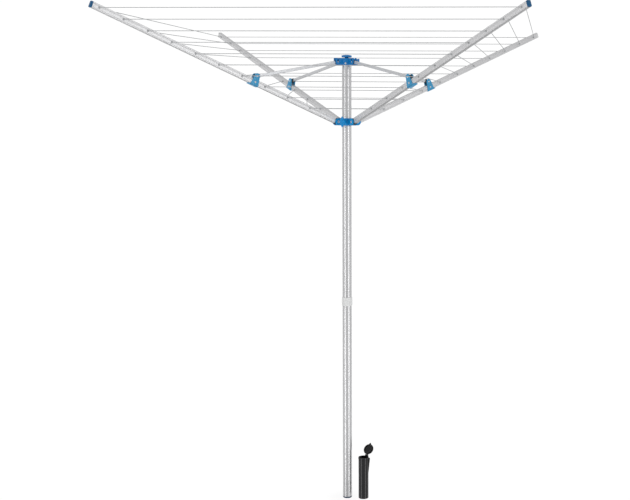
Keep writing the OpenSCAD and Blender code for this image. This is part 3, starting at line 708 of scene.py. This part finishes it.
arm_paint = aluminium("arm_tube", (0.72, 0.72, 0.73), (0.84, 0.84, 0.85), 0.44)
black = plastic("black_plastic", (0.012, 0.012, 0.013), (0.028, 0.028, 0.03), 0.45)
cap_blue = plastic("cap_plastic", (0.0, 0.075, 0.19), (0.0, 0.1, 0.25))
eyelet_grey = plastic("eyelet_plastic", (0.42, 0.43, 0.44), (0.54, 0.55, 0.56))
arm_h = 0.030
arm_cap = 0.010
arm_corner = 0.003
arm_grooves = (-0.0085, 0.0085)
tip_edge = 0.0014
ear_reach = 0.020
eyelet_r = 0.006
eyelet_bore = 0.0024
eyelet_body_r = 0.004
eyelet_in = -0.0028
eyelet_lip = 0.0008
for arm in ARMS:
    body = f"arm_{arm}"
    tube = prism(bar_section(arm_h, arm_w, arm_corner, arm_grooves), ear_reach,
                 arm_len - arm_cap, "X")
    finished(f"arm_tube_shell_{arm}", tube, body, "arm_tube", arm_paint, f"arm_tube_{arm}",
             place=in_arm(arm))
    root = prism([(ear_reach, -arm_h / 2), *arc(0, 0, arm_h / 2, -90, -270, 18),
                  (ear_reach, arm_h / 2)], -arm_w / 2, arm_w / 2)
    finished(f"arm_root_end_{arm}", softened(root, part_edge), body, "black_plastic", black,
             f"arm_root_{arm}", place=in_arm(arm))
    cap = prism(bar_section(arm_h, arm_w, arm_corner), arm_len - arm_cap, arm_len, "X")
    front = arm.startswith("front")
    finished(f"arm_tip_{arm}", softened(cap, tip_edge, 3), body,
             "dark_blue_plastic" if front else "grey_plastic",
             cap_blue if front else grey_plastic, f"arm_cap_{arm}", place=in_arm(arm))
    trim = []
    for ring in range(1, rings + 1):
        for side in (-1, 1):
            ring_outline = [(eyelet_bore, eyelet_in), (eyelet_bore, eyelet_t * 0.6),
                            (eyelet_bore + eyelet_lip, eyelet_t),
                            (eyelet_r - eyelet_lip, eyelet_t), (eyelet_r, eyelet_t * 0.4),
                            (eyelet_r, 0), (eyelet_body_r, 0), (eyelet_body_r, eyelet_in)]
            place = (Matrix.Translation((hole_x(ring), side * arm_w / 2, 0))
                     @ Matrix.Rotation(-side * math.pi / 2, 4, "X"))
            trim.append(moved(turned(ring_outline, 20, closed=True), place))
    finished(f"eyelet_rings_{arm}", together(*trim), body, "eyelet_plastic", eyelet_grey,
             f"eyelets_{arm}", place=in_arm(arm))


# ---- brackets ----
# Blue plastic saddles under the arms, held by a rivet through the tube. Their two plates rise
# above the arm and carry the rivet on which the strut turns.
bracket_ring = 7
bracket_back = 0.0783
bracket_x = hole_x(bracket_ring) - bracket_back
strut_rise = 0.0319
bracket_half = 0.023
bracket_t = 0.004
bracket_foot = 0.009
bracket_floor = 0.0035
bracket_ear_r = 0.015
bracket_edge = 0.001
bracket_low = -arm_h / 2 - bracket_floor
bracket_outline = [(-bracket_half, bracket_low), (bracket_half, bracket_low)]
bracket_outline += arc(0, strut_rise, bracket_ear_r, 0, 180, 14)
pale_blue = plastic("bracket_plastic", (0.04, 0.3, 0.55), (0.06, 0.36, 0.64), 0.32)
for arm in ARMS:
    saddle = plates(bracket_outline, arm_w / 2, bracket_t, bracket_edge)
    out = arm_w / 2 + bracket_t
    sole = [(-bracket_half, bracket_low), (bracket_half + bracket_foot, bracket_low),
            (bracket_half + bracket_foot, -arm_h / 2), (-bracket_half, -arm_h / 2)]
    saddle.append(softened(prism(sole, -out, out), part_edge))
    place = in_arm(arm) @ Matrix.Translation((bracket_x, 0, 0))
    finished(f"bracket_body_{arm}", together(*saddle), f"arm_{arm}", "blue_plastic", pale_blue,
             f"bracket_{arm}", place=place)
    pins = together(rivet(0, 0, radius=0.0026, length=2 * out, head_r=0.005, head=0.0016),
                    rivet(0, strut_rise, radius=0.0032, length=2 * out, head_r=0.005, head=0.0016))
    finished(f"bracket_pins_{arm}", pins, f"arm_{arm}", "steel", steel, f"bracket_rivets_{arm}",
             place=place)


# ---- struts ----
# Slim aluminium tubes that hold the arms up from the top hub. Black plastic ends are pressed into
# them: the inner one hangs on a steel cross pin, and the outer one turns in the bracket.
in_bracket = in_arm("back_right") @ Vector((bracket_x, 0, strut_rise))
run_x = in_bracket.xy.length - pivot_r
run_z = in_bracket.z - strut_pivot_z
strut_len = math.hypot(run_x, run_z)
strut_slope = -math.atan2(run_z, run_x)
strut_paint = aluminium("strut_tube", (0.66, 0.67, 0.69), (0.84, 0.85, 0.87), 0.34)
strut_h = 0.015
strut_w = 0.010
strut_corner = 0.002
strut_edge = 0.0007
inner_end_len = 0.014
inner_end_r = 0.009
inner_end_half = 0.006
outer_end_len = 0.017
outer_end_r = 0.010
outer_end_half = 0.0096
for arm in ARMS:
    place = (facing(arm) @ Matrix.Translation((pivot_r, 0, strut_pivot_z))
             @ Matrix.Rotation(strut_slope, 4, "Y"))
    body = f"strut_{arm}"
    tube = prism(bar_section(strut_h, strut_w, strut_corner), inner_end_len,
                 strut_len - outer_end_len, "X")
    finished(f"strut_tube_shell_{arm}", tube, body, "strut_tube", strut_paint,
             f"strut_tube_{arm}", place=place)
    inner = prism([(inner_end_len, -strut_h / 2), *arc(0, 0, inner_end_r, -60, -300, 14),
                   (inner_end_len, strut_h / 2)], -inner_end_half, inner_end_half)
    finished(f"strut_inner_{arm}", softened(inner, strut_edge), body, "black_plastic", black,
             f"strut_inner_end_{arm}", place=place)
    outer = prism([(strut_len - outer_end_len, outer_end_r),
                   *arc(strut_len, 0, outer_end_r, 90, -90, 14),
                   (strut_len - outer_end_len, -outer_end_r)], -outer_end_half, outer_end_half)
    finished(f"strut_outer_{arm}", softened(outer, strut_edge), body, "black_plastic", black,
             f"strut_outer_end_{arm}", place=place)
    pin = rivet(0, 0, radius=0.0032, length=0.0245, head_r=0.0032, head=0.0007)
    finished(f"strut_cross_pin_{arm}", pin, body, "steel", steel, f"strut_pin_{arm}", place=place)


# ---- ground socket ----
# A black plastic tube that is set in the lawn and takes the foot of the pole. A fin keeps it from
# turning, and a lid with a pointed finger tab swings on a steel pin at its rim.
socket_black = plastic("socket_plastic", (0.003, 0.003, 0.004), (0.007, 0.007, 0.008), 0.16, 1.5)
lid_at = Vector(joints["lid_hinge"]["pos_m"])
lid_axis = joints["lid_hinge"]["axis"]
lid_az = math.atan2(-lid_axis[0], lid_axis[1])
lid_open = math.radians(-joints["lid_hinge"]["range_deg"][0])
lid_hinge_r = lid_at.y / math.sin(lid_az)
lid_hinge_z = lid_at.z
socket_x = lid_at.x - lid_hinge_r * math.cos(lid_az)
socket_bore_r = 0.0254
drain_r = 0.006
socket_floor = 0.005
socket_foot = 0.0015
socket_r = 0.0274
shoulder_r = 0.0277
rim_r = 0.0289
socket_h = 0.232
rim_z = 0.220
shoulder_z = 0.143
fin_r = 0.0354
rim_lip = 0.0008
rim_edge = 0.001
fin_half = 0.003
fin_top = socket_h - 0.004
fin_root = socket_r - 0.001
at_socket = Matrix.Translation((socket_x, 0, 0))
socket_outline = [(drain_r, 0), (socket_r - socket_foot, 0), (socket_r, socket_foot),
                  (socket_r, shoulder_z), (shoulder_r, shoulder_z), (shoulder_r, rim_z),
                  (rim_r, rim_z + rim_lip), (rim_r, socket_h - rim_edge),
                  (rim_r - rim_edge, socket_h), (socket_bore_r, socket_h),
                  (socket_bore_r, socket_floor), (drain_r, socket_floor)]
fin = [(fin_root, shoulder_z), (shoulder_r, shoulder_z), (fin_r, rim_z), (fin_r, fin_top),
       (fin_root, fin_top)]
lug_r = 0.004
lug = [(rim_r - rim_edge, rim_z), (rim_r, rim_z), (lid_hinge_r + lug_r, lid_hinge_z)]
lug += arc(lid_hinge_r, lid_hinge_z, lug_r, 15, 180, 10)
lug += [(lid_hinge_r - lug_r, socket_h), (rim_r - rim_edge, socket_h)]
knuckle_w = 0.006
knuckle_pitch = 0.0063
knuckle_edge = 0.0005
around_lid = Matrix.Rotation(lid_az, 4, "Z")
socket_parts = [turned(socket_outline, pole_steps, closed=True),
                softened(prism(fin, -fin_half, fin_half), part_edge)]
for side in (-1, 1):
    middle = side * knuckle_pitch
    ear = softened(prism(lug, middle - knuckle_w / 2, middle + knuckle_w / 2), knuckle_edge)
    socket_parts.append(moved(ear, around_lid))
finished("socket_body", together(*socket_parts), "socket", "socket_plastic", socket_black,
         "ground_socket", place=at_socket)
hinge_pin = rivet(lid_hinge_r, lid_hinge_z, radius=0.0016, length=0.0182, head_r=0.0016,
                  head=0.0002)
finished("socket_hinge_pin", hinge_pin, "socket", "steel", steel, "lid_hinge_pin",
         place=at_socket @ around_lid)

lid_r = 0.0294
lid_t = 0.003
lid_gap = 0.0003
lid_z = socket_h + lid_gap
lid_top = lid_z + lid_t
lid_small, lid_large = 0.0005, 0.0008
ring_r = 0.0246
ring_wall = 0.0025
ring_inner = ring_r - ring_wall
ring_low, ring_foot = lid_z - 0.0055, lid_z - 0.006
nub_r, nub_h, nub_edge = 0.007, 0.002, 0.001
dial_r, dial_edge_r, dial_d = 0.012, 0.011, 0.0006
lid_outline = [(0, lid_z - nub_h), (nub_r - nub_edge, lid_z - nub_h), (nub_r, lid_z - nub_edge),
               (nub_r, lid_z), (ring_inner, lid_z), (ring_inner, ring_low),
               (ring_inner + lid_small, ring_foot), (ring_r - lid_small, ring_foot),
               (ring_r, ring_low), (ring_r, lid_z), (lid_r - lid_small, lid_z),
               (lid_r, lid_z + lid_small), (lid_r, lid_top - lid_large),
               (lid_r - lid_large, lid_top), (dial_r, lid_top), (dial_edge_r, lid_top - dial_d),
               (0, lid_top - dial_d)]
tab_root, tab_tip = 0.001 - lid_r, -lid_r - 0.009
tab_half, tab_tip_half = 0.008, 0.0008
tab = [(tab_root, -tab_half), (tab_root, tab_half), (tab_tip, tab_tip_half),
       (tab_tip, -tab_tip_half)]
tongue_root = lid_r - 0.003
tongue = [(tongue_root, lid_z), (lid_hinge_r, lid_z), (lid_hinge_r, lid_top),
          (tongue_root, lid_top)]
knuckle_r = 0.0037
knuckle = arc(lid_hinge_r, lid_hinge_z, knuckle_r, 0, 340, 16)
lid_shapes = together(turned(lid_outline, pole_steps),
                      softened(prism(tab, lid_z, lid_top, "Z"), strut_edge),
                      prism(tongue, -knuckle_w / 2, knuckle_w / 2),
                      prism(knuckle, -knuckle_w / 2, knuckle_w / 2))
swing = (Matrix.Translation((lid_hinge_r, 0, lid_hinge_z)) @ Matrix.Rotation(lid_open, 4, "Y")
         @ Matrix.Translation((-lid_hinge_r, 0, -lid_hinge_z)))
finished("socket_lid_disc", lid_shapes, "lid", "socket_plastic", socket_black, "socket_lid",
         place=at_socket @ around_lid @ swing)

# The pad is a plain block of black plastic, shaped to the pole, and keeps its shape.
shoe = frame["nodes"]["clamp_shoe"]
shoe.data.materials.clear()
shoe.data.materials.append(black)
